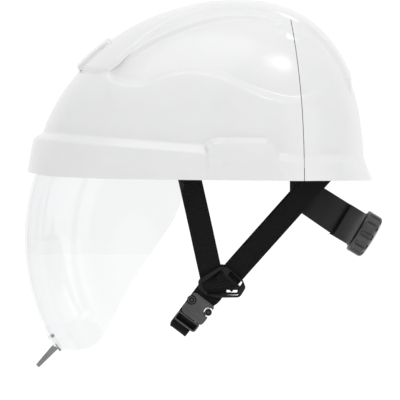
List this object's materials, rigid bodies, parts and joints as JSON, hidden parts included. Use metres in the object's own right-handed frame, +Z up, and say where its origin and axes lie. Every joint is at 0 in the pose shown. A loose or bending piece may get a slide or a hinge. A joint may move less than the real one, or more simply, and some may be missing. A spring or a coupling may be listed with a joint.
{
  "type": "hard hat",
  "caption": "Hard hat with a clear face shield that retracts inside the shell, a wheel-adjusted headband and a three-way chin strap.",
  "frame": {"origin": "middle of the head at the height of the brim's lower edge, on the mid-plane", "axes": "+Z up, the front of the hat faces -Y, the wearer's left is +X"},
  "size_m": [0.233, 0.3159, 0.3234],
  "materials": {
    "shell_white": "glossy moulded white",
    "inner_grey": "satin moulded",
    "clear_shield": "clear polycarbonate",
    "dark_plastic": "fine moulded grain",
    "black_plastic": "satin moulded",
    "steel": "zinc plated",
    "webbing": "ribbed polyester webbing",
    "padding": "soft foam-backed cloth"
  },
  "bodies": {
    "hat": {"shell_front": "shell_white", "shell_rear": "shell_white", "crown_ridge": "shell_white", "front_badge_plate": "shell_white", "seam_strip": "inner_grey", "guide_rail_left": "black_plastic", "guide_rail_right": "black_plastic", "suspension_frame": "black_plastic", "headband": "black_plastic", "headband_hangers": "black_plastic", "crown_strap_clips": "black_plastic", "strap_anchor_front_left": "black_plastic", "strap_anchor_rear_left": "black_plastic", "strap_anchor_front_right": "black_plastic", "strap_anchor_rear_right": "black_plastic", "nape_housing": "black_plastic", "nape_cover": "black_plastic", "three_way_slider_left": "black_plastic", "three_way_slider_right": "black_plastic", "ratchet_ring": "black_plastic", "buckle_socket": "dark_plastic", "guide_rail_screws_left": "steel", "guide_rail_screws_right": "steel", "suspension_frame_screws": "steel", "crown_strap_fore_and_aft": "webbing", "crown_strap_left_to_right": "webbing", "crown_strap_right_to_left": "webbing", "chin_strap_front_left": "webbing", "chin_strap_rear_left": "webbing", "chin_strap_front_right": "webbing", "chin_strap_rear_right": "webbing", "buckle_loop": "webbing", "sweatband": "padding", "crown_pad": "padding", "nape_pad": "padding"},
    "shield": {"face_shield": "clear_shield", "shield_grip_tab": "dark_plastic", "grip_tab_rivets": "steel", "shield_runner_left": "dark_plastic", "shield_runner_right": "dark_plastic", "runner_screws_left": "steel", "runner_screws_right": "steel"},
    "knob": {"adjuster_knob": "dark_plastic", "ratchet_pinion": "black_plastic", "click_spring": "steel"},
    "arm_left": {"nape_arm_left": "black_plastic"},
    "arm_right": {"nape_arm_right": "black_plastic"},
    "chin_plug": {"buckle_plug": "dark_plastic", "chin_webbing": "webbing"}
  },
  "joints": [
    {"name": "shield_swing", "type": "hinge", "parent": "hat", "child": "shield", "pos_m": [0, 0.007, -0.052], "axis": [-1, 0, 0], "range_deg": [0, 46]},
    {"name": "knob_turn", "type": "hinge", "parent": "hat", "child": "knob", "pos_m": [0, 0.1114, -0.0433], "axis": [0, -0.8563, 0.5165], "range_deg": [-14, 114]},
    {"name": "arm_left_slide", "type": "slide", "parent": "hat", "child": "arm_left", "axis": [-1, 0, 0], "range_m": [-0.0015, 0.012]},
    {"name": "arm_right_slide", "type": "slide", "parent": "hat", "child": "arm_right", "axis": [1, 0, 0], "range_m": [-0.0015, 0.012]},
    {"name": "buckle_release", "type": "slide", "parent": "hat", "child": "chin_plug", "axis": [0, -0.6, -0.8], "range_m": [0, 0.02]}
  ],
  "couplings": [
    {"joint": "arm_left_slide", "follows": "knob_turn", "m_per_rad": 0.006},
    {"joint": "arm_right_slide", "follows": "knob_turn", "m_per_rad": 0.006}
  ]
}
